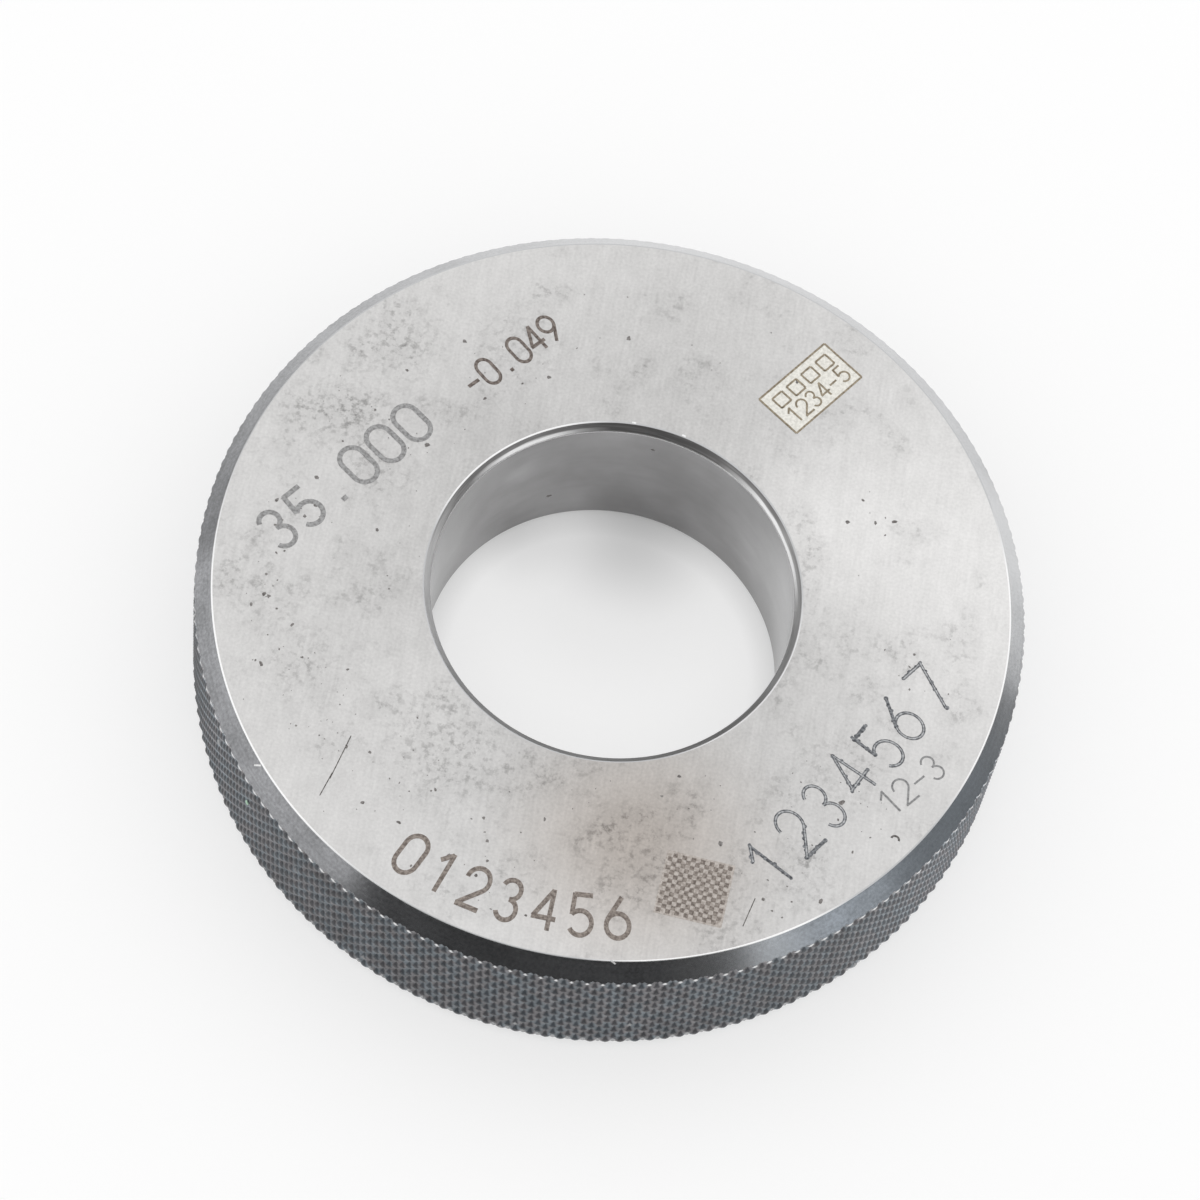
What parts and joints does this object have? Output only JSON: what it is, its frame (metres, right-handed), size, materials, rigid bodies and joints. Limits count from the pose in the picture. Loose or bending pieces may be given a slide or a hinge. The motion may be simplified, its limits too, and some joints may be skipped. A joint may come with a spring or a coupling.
{
  "type": "setting ring gauge",
  "caption": "Thick steel ring with a precise lapped bore, flat ground faces, chamfered corners and a diamond-knurled rim, used to set or check bore gauges.",
  "frame": {"origin": "centre of the lower face, on the bore's axis", "axes": "+Z along the bore's axis, up out of the upper face; the ring is round, so +X and +Y are free, and +Y points away from the front of the marked face"},
  "size_m": [0.08, 0.08, 0.018],
  "materials": {
    "ground_steel": "ground grey steel faces and lapped bore, aged and faintly pitted",
    "dark_oxide": "smooth dark blue-grey oxide of the knurled rim and the chamfers",
    "etched_mark": "flat brown-grey marks, etched into the face"
  },
  "bodies": {
    "root": {"ring_gauge": "ground_steel"}
  },
  "joints": []
}
